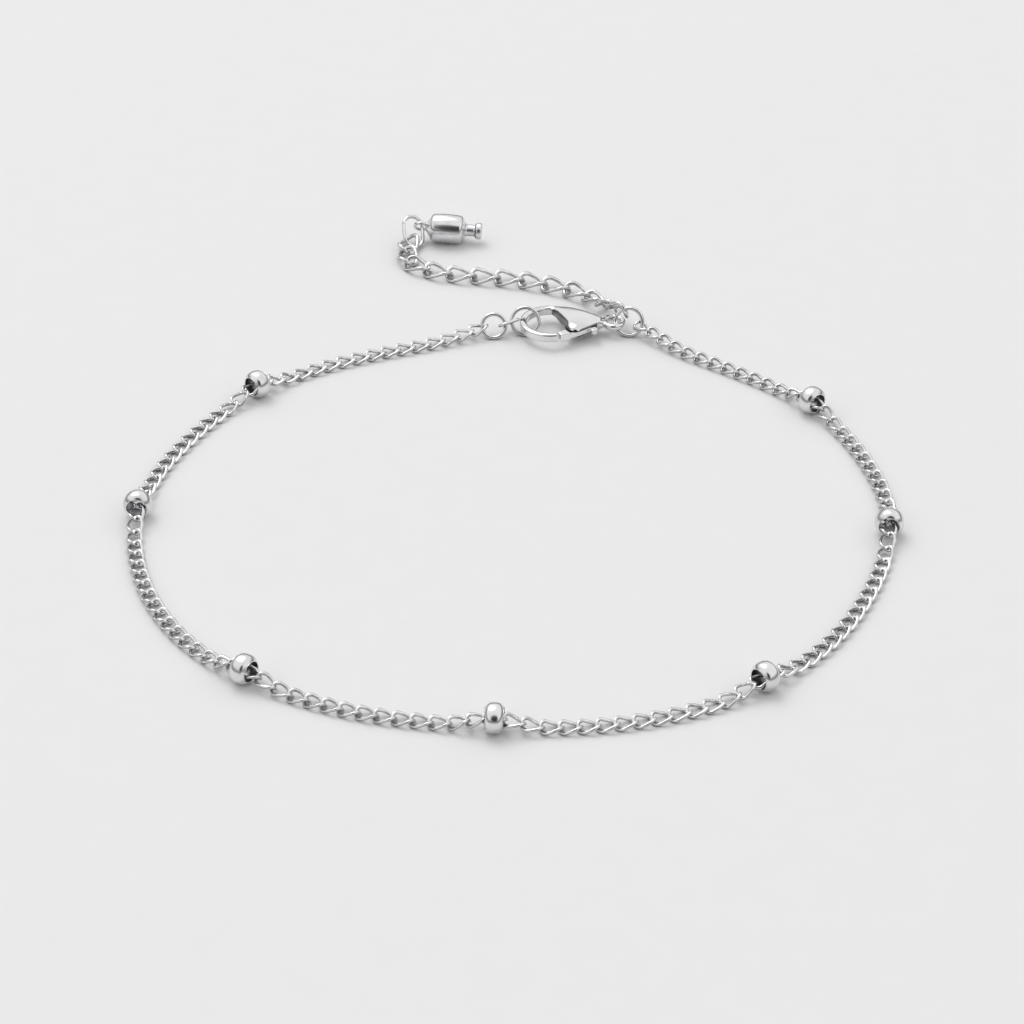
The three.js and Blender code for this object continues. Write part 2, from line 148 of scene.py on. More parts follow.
def joined(name, pieces):
    take(*pieces)
    bpy.ops.object.join()
    whole = bpy.context.object
    whole.name = name
    whole.data.name = name
    return whole


# %% Setting a piece down
def lowest(piece):
    return min(vertex.co.z for vertex in piece.data.vertices)


def set_down(piece, matrix, seat=None):
    """The piece goes where the matrix says, in metres, and then down or up to where a node rests."""
    piece.data.transform(piece.matrix_world)
    piece.matrix_world = Matrix.Identity(4)
    piece.data.transform(Matrix.Scale(MM, 4) @ matrix)
    if seat:
        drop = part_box(seat)[0].z - lowest(piece)
        piece.data.transform(Matrix.Translation((0, 0, drop)))
        print(f"{piece.name} moved by {drop / MM:.3f} mm to rest where {seat} does")
    piece.data.update()
    return piece


# %% [markdown]
# ## The camera
# The photograph looks down on the anklet from the front at about 34 degrees, with a long lens
# that keeps the far extender nearly as large as the near bead. The camera comes first, because
# it frames every later step, and the room's dark spot is placed from it.

# %% Camera
CAMERA_TILT = 34.5
CAMERA_AT = (ROUTE_SHIFT + Vector((-0.063, -251.736, 173.022))) * MM
LENS = 105
SENSOR_WIDTH = 36


def make_camera():
    bpy.ops.object.camera_add(location=CAMERA_AT, rotation=(math.radians(90 - CAMERA_TILT), 0, 0))
    camera = bpy.context.object
    camera.name = "photo_camera"
    camera.data.lens = LENS
    camera.data.sensor_width = SENSOR_WIDTH
    camera.data.clip_start = 0.01
    camera.data.clip_end = 20
    bpy.context.scene.camera = camera
    return camera


print("camera:", make_camera().name)

# %% [markdown]
# ## Polished steel
# Bright steel has no colour pattern of its own: what one sees is the room. What tells it from
# a mirror is small: hair-fine scratches from tumbling and a slight haze that comes and goes.
# Every steel finish here needs those, so they are one node group with its own values in each
# material. The darker hollows and undersides are painted shade, put on apart from this group.

# %% The worn polish group and its sockets
def worn_polish_group():
    group = bpy.data.node_groups.new("worn_polish", "ShaderNodeTree")
    sockets = group.interface
    for name, value in (("Scale", 900.0), ("Haze", 0.1), ("Smooth", 0.08), ("Depth", 0.1)):
        socket = sockets.new_socket(name=name, in_out="INPUT", socket_type="NodeSocketFloat")
        socket.default_value = value
    sockets.new_socket(name="Bright", in_out="INPUT", socket_type="NodeSocketColor")
    sockets.new_socket(name="Dull", in_out="INPUT", socket_type="NodeSocketColor")
    sockets.new_socket(name="Color", in_out="OUTPUT", socket_type="NodeSocketColor")
    sockets.new_socket(name="Roughness", in_out="OUTPUT", socket_type="NodeSocketFloat")
    sockets.new_socket(name="Normal", in_out="OUTPUT", socket_type="NodeSocketVector")
    return group


def wire(group, *pairs):
    for source, target in pairs:
        group.links.new(source, target)


worn_polish = worn_polish_group()
print("group:", worn_polish.name, "sockets:", len(worn_polish.interface.items_tree))

# %% [markdown]
# Two noises make the wear. A broad one is the haze, and a finer one, drawn out seven times as
# long as wide, is the scratches. Both read the piece's own coordinates, so they stay on the metal
# when it moves. Haze makes the steel duller and rougher, and the scratches only tilt its surface.

# %% Haze and scratches
SCRATCH_STRETCH = (1, 7, 7)
SCRATCH_TURN = (0.3, 0.2, 0.5)
SCRATCH_FINENESS = 5
SCRATCH_DEPTH = 0.000004
HAZE_STARTS, HAZE_FULL = 0.42, 0.68


def fill_worn_polish(group):
    new = group.nodes.new
    given, out = new("NodeGroupInput"), new("NodeGroupOutput")
    place = new("ShaderNodeTexCoord")
    haze, scratch = new("ShaderNodeTexNoise"), new("ShaderNodeTexNoise")
    stretch, spread = new("ShaderNodeMapping"), new("ShaderNodeMath")
    haze.inputs["Detail"].default_value = 3
    scratch.inputs["Detail"].default_value = 4
    scratch.inputs["Roughness"].default_value = 0.7
    scratch.inputs["Distortion"].default_value = 1.2
    stretch.inputs["Scale"].default_value = SCRATCH_STRETCH
    stretch.inputs["Rotation"].default_value = SCRATCH_TURN
    spread.operation = "MULTIPLY"
    spread.inputs[1].default_value = SCRATCH_FINENESS
    wire(
        group,
        (place.outputs["Object"], haze.inputs["Vector"]),
        (place.outputs["Object"], stretch.inputs["Vector"]),
        (stretch.outputs["Vector"], scratch.inputs["Vector"]),
        (given.outputs["Scale"], haze.inputs["Scale"]),
        (given.outputs["Scale"], spread.inputs[0]),
        (spread.outputs[0], scratch.inputs["Scale"]),
    )
    return given, out, haze, scratch


def finish_worn_polish(group, given, out, haze, scratch):
    new = group.nodes.new
    ramp, rough, add, tint = (
        new("ShaderNodeValToRGB"), new("ShaderNodeMath"), new("ShaderNodeMath"), new("ShaderNodeMix"),
    )
    ramp.color_ramp.elements[0].position = HAZE_STARTS
    ramp.color_ramp.elements[1].position = HAZE_FULL
    rough.operation = "MULTIPLY"
    add.operation = "ADD"
    tint.data_type = "RGBA"
    bump = new("ShaderNodeBump")
    bump.inputs["Distance"].default_value = SCRATCH_DEPTH
    wire(
        group,
        (haze.outputs["Fac"], ramp.inputs["Fac"]),
        (ramp.outputs["Color"], rough.inputs[0]),
        (given.outputs["Haze"], rough.inputs[1]),
        (rough.outputs[0], add.inputs[0]),
        (given.outputs["Smooth"], add.inputs[1]),
        (add.outputs[0], out.inputs["Roughness"]),
        (ramp.outputs["Color"], tint.inputs["Factor"]),
        (given.outputs["Bright"], tint.inputs["A"]),
        (given.outputs["Dull"], tint.inputs["B"]),
        (tint.outputs["Result"], out.inputs["Color"]),
        (scratch.outputs["Fac"], bump.inputs["Height"]),
        (given.outputs["Depth"], bump.inputs["Strength"]),
        (bump.outputs["Normal"], out.inputs["Normal"]),
    )


finish_worn_polish(worn_polish, *fill_worn_polish(worn_polish))
print("nodes in the group:", len(worn_polish.nodes))

# %% [markdown]
# ## The steel finishes
# Wire comes bright and smooth from the drawing die. The beads and the drop are turned and
# polished on a soft wheel, which leaves a calmer shine. The clasp is cast and tumbled, so its haze
# is broader. Bores and the clasp's mouth are never polished, so they are rougher, and their colour
# is darkened as painted shade. All of them are one metal shader with the same wear group and
# values of their own, set by one function.

# %% Steel materials
def steel(name, bright, dull, smooth, haze, scale, depth):
    material = bpy.data.materials.new(name)
    material.use_nodes = True
    nodes = material.node_tree.nodes
    shader = nodes["Principled BSDF"]
    shader.inputs["Metallic"].default_value = 1
    group = nodes.new("ShaderNodeGroup")
    group.node_tree = worn_polish
    group.inputs["Scale"].default_value = scale
    group.inputs["Haze"].default_value = haze
    group.inputs["Smooth"].default_value = smooth
    group.inputs["Depth"].default_value = depth
    group.inputs["Bright"].default_value = (*bright, 1)
    group.inputs["Dull"].default_value = (*dull, 1)
    wire(
        material.node_tree,
        (group.outputs["Color"], shader.inputs["Base Color"]),
        (group.outputs["Roughness"], shader.inputs["Roughness"]),
        (group.outputs["Normal"], shader.inputs["Normal"]),
    )
    return material


BRIGHT_STEEL = (0.82, 0.82, 0.825)
DULL_STEEL = (0.68, 0.685, 0.7)
WIRE_BRIGHT = (0.84, 0.84, 0.845)
WIRE_DULL = (0.7, 0.705, 0.72)
# Colours of the never-polished finish: their darkness is painted shade for the bores and the clasp's
# mouth.
SHADED_ROUGH_BRIGHT = (0.3, 0.3, 0.31)
SHADED_ROUGH_DULL = (0.16, 0.16, 0.17)
drawn_wire = steel(
    "drawn_wire_steel", WIRE_BRIGHT, WIRE_DULL, smooth=0.05, haze=0.07, scale=700, depth=0.1,
)
turned = steel(
    "turned_mirror_steel", BRIGHT_STEEL, DULL_STEEL, smooth=0.2, haze=0.08, scale=500, depth=0.08,
)
cast = steel(
    "cast_tumbled_steel", BRIGHT_STEEL, DULL_STEEL, smooth=0.07, haze=0.08, scale=420, depth=0.08,
)
# The never-polished finish: rougher, and dark as painted shade.
unpolished_and_shaded = steel(
    "unpolished_shaded_steel", SHADED_ROUGH_BRIGHT, SHADED_ROUGH_DULL, smooth=0.3, haze=0.1, scale=600, depth=0.2,
)
print("finishes:", drawn_wire.name, turned.name, cast.name, unpolished_and_shaded.name)

# %% [markdown]
# ## Painted shade under the wire
# Every link has a thin dark line along its lower edge. It is painted shade: the wire's colour
# is darkened where its surface faces down, and the less it looks up, the darker it is.

# %% Painted shade on the underside
# The colour of the painted shade under the wire, and the facings where it is full and where it ends.
WIRE_UNDERSIDE_SHADE = (0.33, 0.33, 0.34)
SHADE_FULL_BELOW = -0.15
SHADE_ENDS_AT = 0.06


# Darkens the base colour where the surface faces down: painted shade.
def paint_shade_below(material, color, full, none):
    nodes = material.node_tree.nodes
    shader = nodes["Principled BSDF"]
    polished = shader.inputs["Base Color"].links[0].from_socket
    facing, split = nodes.new("ShaderNodeTexCoord"), nodes.new("ShaderNodeSeparateXYZ")
    share, tint = nodes.new("ShaderNodeMapRange"), nodes.new("ShaderNodeMix")
    share.inputs["From Min"].default_value = full
    share.inputs["From Max"].default_value = none
    tint.data_type = "RGBA"
    tint.inputs["A"].default_value = (*color, 1)
    wire(
        material.node_tree,
        (facing.outputs["Normal"], split.inputs["Vector"]),
        (split.outputs["Z"], share.inputs["Value"]),
        (share.outputs["Result"], tint.inputs["Factor"]),
        (polished, tint.inputs["B"]),
        (tint.outputs["Result"], shader.inputs["Base Color"]),
    )


paint_shade_below(drawn_wire, WIRE_UNDERSIDE_SHADE, SHADE_FULL_BELOW, SHADE_ENDS_AT)
print("nodes in the wire's finish:", len(drawn_wire.node_tree.nodes))

# %% [markdown]
# ## Dressing a piece
# A finished piece needs two things besides its steel: the body that it moves with, and the nodes
# of the model that it stands for. One helper gives both. Another gives chosen faces, such as those
# inside a bore, the never-polished finish, whose dark colour is painted shade.

# %% Dressing
def dress(piece, finish, slot, body, *nodes):
    piece.data.materials.clear()
    piece.data.materials.append(finish)
    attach(piece, body)
    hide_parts(*nodes)
    faces = sum(len(face.vertices) - 2 for face in piece.data.polygons)
    print(f"{piece.name}: {faces} triangles for {', '.join(nodes)}")


def faces_where(piece, wanted):
    return [face.index for face in piece.data.polygons if wanted(face)]


# Gives the chosen faces the never-polished finish: rougher, with its dark colour as painted shade.
def leave_unpolished_and_shaded(piece, faces):
    piece.data.materials.append(unpolished_and_shaded)
    for index in faces:
        piece.data.polygons[index].material_index = 1
    print(f"{piece.name}: {len(faces)} faces stay unpolished")


# %% [markdown]
# ## The route of a chain
# A chain lies where it was put down, so its route keeps the same few points as the model: where
# it lies on the table, and how far it is raised where it climbs to a ring. A curve through them
# could be drawn as a Blender curve, but the links must match the model's own, so the same
# smooth curve is worked out here and measured along its length. The beads' places are lengths
# along that route.

# %% Route points
CHAIN_ROUTE = [
    (-3.0, 34.9, 0.75), (-5.3, 33.9, 0.38), (-8.8, 32.4, 0.06), (-14.6, 30.3, 0.01), (-20.3, 27.7, 0),
    (-25.6, 24.1, 0), (-30.3, 19.2, 0), (-34.3, 12.7, 0), (-37.3, 4.8, 0), (-38.2, -4.0, 0),
    (-36.5, -12.8, 0), (-33.0, -20.3, 0), (-28.5, -25.7, 0), (-23.7, -29.3, 0), (-18.7, -31.9, 0),
    (-13.8, -33.7, 0), (-8.8, -34.8, 0), (-3.9, -35.5, 0), (1.1, -35.8, 0), (6.0, -35.7, 0),
    (10.9, -35.0, 0), (15.9, -33.6, 0), (20.9, -31.3, 0), (25.7, -27.8, 0), (30.2, -23.1, 0),
    (34.1, -16.6, 0), (37.2, -8.3, 0), (38.3, 0.9, 0), (36.6, 9.8, 0), (33.3, 17.3, 0),
    (28.8, 22.8, 0), (23.7, 27.0, 0), (18.4, 30.9, 0.12), (16.4, 32.9, 0.4), (13.9, 35.2, 0.8),
]
EXTENDER_ROUTE = [
    (12.4, 35.6, 2.2), (11.4, 38.0, 1.2), (10.2, 40.3, 0.3), (8.4, 42.7, 0.05), (5.8, 44.4, 0.02),
    (3.0, 45.5, 0), (0.2, 46.4, 0), (-2.4, 46.8, 0), (-5.2, 47.2, 0), (-7.8, 47.7, 0),
    (-10.2, 48.7, 0), (-12.0, 50.2, 0), (-12.6, 51.5, 0.03), (-12.4, 53.0, 0.08), (-12.0, 55.7, 0.15),
]
BEAD_PLACES = [27.9, 53.7, 85.4, 110.5, 137.3, 167.2, 191.5]
print("route points:", len(CHAIN_ROUTE), "and", len(EXTENDER_ROUTE))


# %% A measured curve through the points
ROUTE_STEPS = 90


def curve_piece(p0, p1, p2, p3, steps):
    d0, d1, d2 = (max((b - a).length_squared ** 0.25, 1e-6) for a, b in ((p0, p1), (p1, p2), (p2, p3)))
    t1 = ((p1 - p0) / d0 - (p2 - p0) / (d0 + d1) + (p2 - p1) / d1) * d1
    t2 = ((p2 - p1) / d1 - (p3 - p1) / (d1 + d2) + (p3 - p2) / d2) * d1
    for step in range(steps):
        t = step / steps
        square, cube = t * t, t * t * t
        yield (
            p1 * (2 * cube - 3 * square + 1) + p2 * (3 * square - 2 * cube)
            + t1 * (cube - 2 * square + t) + t2 * (cube - square)
        )


class Route:
    """A smooth curve through the points, with a place for every length along it."""

    def __init__(self, points, height):
        given = [Vector((x, y, height + raise_)) + ROUTE_SHIFT for x, y, raise_ in points]
        ends = [2 * given[0] - given[1], *given, 2 * given[-1] - given[-2]]
        self.dense = [p for n in range(len(given) - 1) for p in curve_piece(*ends[n:n + 4], ROUTE_STEPS)]
        self.dense.append(given[-1])
        self.along = [0.0]
        for a, b in zip(self.dense, self.dense[1:]):
            self.along.append(self.along[-1] + (b - a).length)
        self.length = self.along[-1]

    def at(self, distance):
        distance = min(max(distance, 0), self.length)
        low, high = 0, len(self.along) - 1
        while high - low > 1:
            half = (low + high) // 2
            low, high = (half, high) if self.along[half] <= distance else (low, half)
        share = (distance - self.along[low]) / (self.along[high] - self.along[low])
        return self.dense[low].lerp(self.dense[high], share)


print("the chain's route is", round(Route(CHAIN_ROUTE, 0).length, 1), "mm long")

# %% [markdown]
# ## A curb link
# A curb chain is made of oval links of round wire that were twisted after linking, so that they
# lie flat. One link is enough: a ring is drawn out into an oval by pulling its halves apart, and
# a twist modifier turns one end against the other. It is repeated more than a hundred times, so
# it has few faces, and smooth shading makes its wire round.

# %% A ring of wire, drawn out and twisted
def ring_of_wire(name, width, wire_size, around=48, across=14):
    let_go()
    bpy.ops.mesh.primitive_torus_add(
        major_segments=around, minor_segments=across,
        major_radius=(width - wire_size) / 2, minor_radius=wire_size / 2,
    )
    bpy.context.object.name = name
    return bpy.context.object


def draw_out(ring, by):
    for side in (-1, 1):
        pick(ring, "vertices", lambda vertex: vertex.co.x * side > 0.001)
        bpy.ops.transform.translate(value=(side * by / 2, 0, 0))
    let_go()
    return ring


def curb_link(name, pitch, width, wire_size, twist):
    length = pitch + 2 * wire_size
    link = draw_out(ring_of_wire(name, width, wire_size, around=24, across=8), length - width)
    keep_modifier(
        link, "SIMPLE_DEFORM", deform_method="TWIST", deform_axis="X", angle=math.radians(-2 * twist),
    )
    tip = max((v.co for v in link.data.vertices if v.co.y > 0.2 * width), key=lambda c: c.x)
    print(f"{name}: {length:.3f} mm long, its right end leans {'down' if tip.z < 0 else 'up'}")
    return close_up(link, 180)


CHAIN_PITCH = 1.7462
EXTENDER_PITCH = 2.8742
chain_link = curb_link("chain_link", CHAIN_PITCH, width=1.8, wire_size=0.37, twist=45)
extender_link = curb_link("extender_link", EXTENDER_PITCH, width=2.6, wire_size=0.46, twist=45)

# %% [markdown]
# ## Laying the links
# Each link hangs on the one before. Along the route every link gets a start and an end point,
# and lies between them. Where the chain passes through a bead it climbs to the bead's middle,
# and where it hangs on a ring it rolls a little to pass through.

# %% Frames along a route
def fade(distance, reach):
    return (1 + math.cos(math.pi * distance / reach)) / 2 if distance < reach else 0


def link_frame(start, end, roll):
    along = (end - start).normalized()
    side = Matrix.Rotation(roll, 3, along) @ Vector((0, 0, 1)).cross(along).normalized()
    turn = Matrix((along, side, along.cross(side))).transposed().to_4x4()
    return Matrix.Translation((start + end) / 2) @ turn


print("a raise fades to", fade(1, 2), "half way along its reach")


# %% Laying copies of a link
def lay(link, name, frames):
    copies = []
    for matrix in frames:
        copy = link.copy()
        copy.data = link.data.copy()
        bpy.context.collection.objects.link(copy)
        copy.data.transform(matrix)
        copies.append(copy)
    print(f"{name}: {len(copies)} links")
    return set_down(joined(name, copies), Matrix.Identity(4))


# %% The fine chain, in two halves that meet in the front bead
BEAD_RADIUS = 1.48
BEAD_CLIMB = 5.2
HALVES_SLACK = 0.1
CHAIN_END_ROLL = 16
ROLL_REACH = 5

chain_route = Route(CHAIN_ROUTE, -lowest(chain_link))
chain_count = round((chain_route.length + HALVES_SLACK) / CHAIN_PITCH)
chain_step = (chain_route.length + HALVES_SLACK) / chain_count
left_count = round(BEAD_PLACES[len(BEAD_PLACES) // 2] / chain_step)
climb = BEAD_RADIUS + lowest(chain_link)


def chain_point(distance):
    point = chain_route.at(distance).copy()
    for place in BEAD_PLACES:
        point.z += climb * fade(abs(distance - place), BEAD_CLIMB)
    return point


def chain_frames(first, last, slack):
    for n in range(first, last):
        start = n * chain_step - slack
        roll = math.radians(CHAIN_END_ROLL) * fade(chain_route.length - start, ROLL_REACH)
        yield link_frame(chain_point(start), chain_point(start + chain_step), roll)


print(f"chain {chain_route.length:.2f} mm, {chain_count} links, {left_count} of them on the left")
chain_left = lay(chain_link, "chain_left_links", chain_frames(0, left_count, 0))
chain_right = lay(chain_link, "chain_right_links", chain_frames(left_count, chain_count, HALVES_SLACK))
dress(chain_left, drawn_wire, "chain", "root", "chain_left")
dress(chain_right, drawn_wire, "chain", "root", "chain_right")

# %% [markdown]
# The extender is the same kind of chain with larger links. It comes off the tail ring standing
# steeply and settles flat on the table over its first few links.

# %% The extender
EXTENDER_START_ROLL = 37

extender_route = Route(EXTENDER_ROUTE, -lowest(extender_link))
extender_count = round(extender_route.length / EXTENDER_PITCH)
extender_step = extender_route.length / extender_count


def extender_frames():
    for n in range(extender_count):
        start = n * extender_step
        roll = math.radians(EXTENDER_START_ROLL) * fade(start, 2 * ROLL_REACH)
        yield link_frame(extender_route.at(start), extender_route.at(start + extender_step), roll)


extender = lay(extender_link, "extender_links", extender_frames())
dress(extender, drawn_wire, "extender", "root", "extender_chain")
bpy.data.objects.remove(chain_link)
bpy.data.objects.remove(extender_link)

# %% [markdown]
# ## The drum beads
# A bead is turned from bar: a short drum with a bore for the chain, its rims rounded off on the
# polishing wheel. A sphere with a hole would be too round, because the real bead keeps the width
# of its drum. So a cylinder is inset at both ends, the two inner discs are bridged into the bore,
# and the rims are bevelled by hand.

# %% One bead
BEAD_LENGTH = 1.8
BEAD_BORE = 1.02
BEAD_SIDES = 56
RIM_ROUNDING = 0.44
BORE_ROUNDING = 0.09


def rim_edges(piece, radius):
    points = piece.data.vertices

    def on_rim(edge):
        ends = [points[v].co for v in edge.vertices]
        flat = abs(ends[0].x - ends[1].x) < 0.001
        return flat and all(abs(math.hypot(c.y, c.z) - radius) < 0.01 for c in ends)

    pick(piece, "edges", on_rim)


def drum_bead():
    let_go()
    bpy.ops.mesh.primitive_cylinder_add(
        vertices=BEAD_SIDES, radius=BEAD_RADIUS, depth=BEAD_LENGTH, rotation=(0, math.pi / 2, 0),
    )
    bead = bpy.context.object
    bpy.ops.object.transform_apply(rotation=True)
    pick(bead, "polygons", lambda face: abs(face.normal.x) > 0.9)
    bpy.ops.mesh.inset(thickness=BEAD_RADIUS - BEAD_BORE, use_even_offset=False)
    bpy.ops.mesh.bridge_edge_loops()
    rim_edges(bead, BEAD_RADIUS)
    bpy.ops.mesh.bevel(offset=RIM_ROUNDING, segments=7)
    rim_edges(bead, BEAD_BORE)
    bpy.ops.mesh.bevel(offset=BORE_ROUNDING, segments=3)
    return close_up(bead, 50)


first_bead = drum_bead()
print("bead faces:", len(first_bead.data.polygons))

# %% [markdown]
# A flat band would flash all at once. The wheel rounds the whole outside, so the band is divided
# along the bead, and its rings of points are drawn in more and more towards the ends. An exponent
# sets how plump that curve is: 2 gives an ellipse, and more keeps the middle fuller.

# %% Rounding the band
CROWN = 0.02
PLUMPNESS = 2.1
BAND_CUTS = 9
NEAR_BORE = 0.1
RIM_SHARE = 0.98


def crown(bead):
    for vertex in bead.data.vertices:
        out = math.hypot(vertex.co.y, vertex.co.z)
        if out > BEAD_BORE + NEAR_BORE:
            share = min(abs(2 * vertex.co.x / BEAD_LENGTH), RIM_SHARE)
            plump = (1 - share ** PLUMPNESS) ** (1 / PLUMPNESS)
            grow = (BEAD_BORE + (out + CROWN - BEAD_BORE) * plump) / out
            vertex.co.y *= grow
            vertex.co.z *= grow


def subdivide_band(bead):
    def along_band(edge):
        ends = [bead.data.vertices[v].co for v in edge.vertices]
        long = abs(ends[0].x - ends[1].x) > BEAD_LENGTH - 2 * RIM_ROUNDING - 0.01
        return long and all(math.hypot(c.y, c.z) > BEAD_BORE + NEAR_BORE for c in ends)

    pick(bead, "edges", along_band)
    bpy.ops.mesh.subdivide(number_cuts=BAND_CUTS)
    let_go()


subdivide_band(first_bead)
crown(first_bead)
print("rounded bead:", len(first_bead.data.polygons), "faces")

# %% [markdown]
# Each bead is a copy with its own mesh, turned along the chain where it is threaded. It also gets
# a turn of its own about the bore, so the scratches differ from bead to bead. The bore's faces
# take the never-polished finish, rougher and darkened as painted shade.

# %% Threading the beads
BEAD_SPIN = 0.37
BORE_MARGIN = 0.02


def in_bore(face):
    return math.hypot(face.center.y, face.center.z) < BEAD_BORE + BORE_MARGIN


bore_faces = faces_where(first_bead, in_bore)
for n, distance in enumerate(BEAD_PLACES):
    bead = first_bead.copy()
    bead.data = first_bead.data.copy()
    bead.name = bead.data.name = f"bead_drum_{n + 1}"
    bpy.context.collection.objects.link(bead)
    toward = chain_point(distance + 0.5) - chain_point(distance - 0.5)
    node = f"bead_{n + 1}"
    centre = middle_of(node)
    spin = Matrix.Rotation(BEAD_SPIN * n, 4, "X")
    turn = Matrix.Rotation(math.atan2(toward.y, toward.x), 4, "Z")
    set_down(bead, Matrix.Translation(centre) @ turn @ spin, seat=node)
    dress(bead, turned, "bead", "root", node)
    leave_unpolished_and_shaded(bead, bore_faces)
bpy.data.objects.remove(first_bead)

# %% [markdown]
# ## Jump rings
# A jump ring is a turn of wire that was sawn off a coil, so it has a hair-thin cut where its two
# ends meet. A small circle is spun almost all the way round, and its two ends are faced.

# %% A sawn ring
RING_WIRE = 0.43
RING_STEPS = 44
WIRE_SIDES = 14
SAW_CUT = 0.05


def sawn_ring(name, length, width, wire_size, cut_at):
    bend = (width - wire_size) / 2
    let_go()
    bpy.ops.mesh.primitive_circle_add(
        vertices=WIRE_SIDES, radius=wire_size / 2, fill_type="NGON", location=(bend, 0, 0),
        rotation=(math.pi / 2, 0, 0),
    )
    ring = bpy.context.object
    ring.name = ring.data.name = name
    bpy.ops.object.transform_apply(location=True, rotation=True)
    pick(ring, "polygons", lambda face: True)
    bpy.ops.mesh.spin(
        steps=RING_STEPS, angle=math.tau - SAW_CUT / bend, center=(0, 0, 0), axis=(0, 0, 1),
    )
    let_go()
    ring.data.transform(Matrix.Rotation(math.radians(cut_at), 4, "Z"))
    close_up(ring, 50)
    return draw_out(ring, length - width) if length > width else ring


def spans(piece):
    low = [min(v.co[k] for v in piece.data.vertices) for k in range(3)]
    high = [max(v.co[k] for v in piece.data.vertices) for k in range(3)]
    return [round(b - a, 3) for a, b in zip(low, high)]


# %% [markdown]
# Every ring leans on its neighbours, as a ring does that passes through another and rests on the
# table. A row gives its length, its width, its wire, where round the ring the saw cut is, how it
# lies, and the node that says how low it rests. The link between the two left rings and the ring
# of the end drop hang on others, so they rest on nothing.

# %% The rings in their places
def leaned(centre, turn=0, lean=0, pitch=0):
    return (
        Matrix.Translation(centre) @ Matrix.Rotation(math.radians(turn), 4, "Z")
        @ Matrix.Rotation(math.radians(-pitch), 4, "Y") @ Matrix.Rotation(math.radians(lean), 4, "X")
    )


RINGS = [
    ("ring_chain", 3.06, 3.06, RING_WIRE, 250, {"turn": 0.5, "lean": 55.4}, "ring_chain"),
    ("link_join", 2.8, 1.6, 0.36, 100, {"turn": 38.5, "lean": -36.4, "pitch": -3.3}, None),
    ("ring_hook", 3.46, 3.46, RING_WIRE, 60, {"turn": -2.6, "lean": 54.6}, "ring_hook"),
    ("ring_tail", 3.5, 3.5, RING_WIRE, 110, {"turn": -10.7, "lean": 64.5}, "ring_tail"),
    ("ring_drop", 4.1, 2.8, RING_WIRE, 80, {"turn": 95.7, "lean": 22, "pitch": 43.4}, None),
]
for node, length, width, wire_size, cut_at, pose, seat in RINGS:
    ring = sawn_ring(f"{node}_wire", length, width, wire_size, cut_at)
    print(ring.name, "spans", spans(ring))
    set_down(ring, leaned(middle_of(node), **pose), seat=seat)
    dress(ring, drawn_wire, "ring", "root", node)

# %% [markdown]
# ## The lobster clasp
# The clasp is one casting: seen flat it is an egg, round at the hook and drawn in to a neck, with
# a round opening and a mouth that the gate closes. Casting and tumbling leave no sharp edge and a
# swelling over the pivot. Its outlines are drawn first, in the clasp's own plane: they are arcs
# about the hook's middle and about the pivot, and two soft bends from the hook to the neck.

# %% Drawing tools
def polar(radius, degrees):
    return Vector((math.cos(math.radians(degrees)), math.sin(math.radians(degrees)))) * radius


def arc(centre, radius, start, end, steps):
    return [centre + polar(radius, start + (end - start) * n / steps) for n in range(steps + 1)]


def bend_between(a, b, c, d, steps):
    points = []
    for n in range(1, steps + 1):
        t = n / steps
        s = 1 - t
        points.append(a * s ** 3 + b * 3 * s * s * t + c * 3 * s * t * t + d * t ** 3)
    return points


print("a quarter turn ends at", [round(v, 3) for v in arc(Vector((0, 0)), 1, 0, 90, 2)[-1]])

# %% Sizes of the clasp
CLASP_LENGTH = 9.3
CLASP_THICKNESS = 1.5
HOOK_RADIUS = 3.3
HOOK_INNER = 2.6
HOOK_CENTRE = Vector((3.4, 0))
HOOK_TIP_TURN = 282
NECK_HALF = 0.55
PIVOT = Vector((7.3, -1.15))
CHEEK_RADIUS = 2.25
HUB_RADIUS = 0.6
GATE_GAP = 0.1
GATE_END_TURN = 228
OUTSIDE = -5

INNER_TIP = HOOK_CENTRE + polar(HOOK_INNER, HOOK_TIP_TURN)
TIP_RADIUS = (INNER_TIP - PIVOT).length
TIP_TURN = math.degrees(math.atan2(*(INNER_TIP - PIVOT).yx)) + 360
print("hook tip at", [round(v, 3) for v in INNER_TIP], "turn", round(TIP_TURN, 1))


# %% The egg
def egg_outline():
    near, far, waist = 0.645 * CLASP_LENGTH, 0.85 * CLASP_LENGTH, 0.41 * HOOK_RADIUS
    left = arc(Vector((HOOK_RADIUS, 0)), HOOK_RADIUS, 90, 270, 48)
    below = bend_between(
        left[-1], Vector((near, -HOOK_RADIUS)), Vector((far, -waist)),
        Vector((CLASP_LENGTH, -NECK_HALF)), 28,
    )
    above = bend_between(
        Vector((CLASP_LENGTH, NECK_HALF)), Vector((far, waist)), Vector((near, HOOK_RADIUS)), left[0], 28,
    )
    return left + below + [Vector((CLASP_LENGTH, NECK_HALF))] + above[:-1]


print("egg outline:", len(egg_outline()), "points")

# %% [markdown]
# The mouth is what the egg loses: the round hole, the gap between the hook's tip and the cheek,
# and the cheek's own edge, which is an arc about the pivot so that the gate can pass it. The
# cheek's corner is rounded here, in the drawing, where its radius and place are plain to see.

# %% Mouth and gate
CORNER_AT = Vector((6.01, -1.63))
CORNER_ROUNDING = 0.9
CORNER_START = 297
CORNER_END = 200
HOLE_START = 80
CHEEK_END = 165
BELOW_CORNER = Vector((6.6, -3.8))


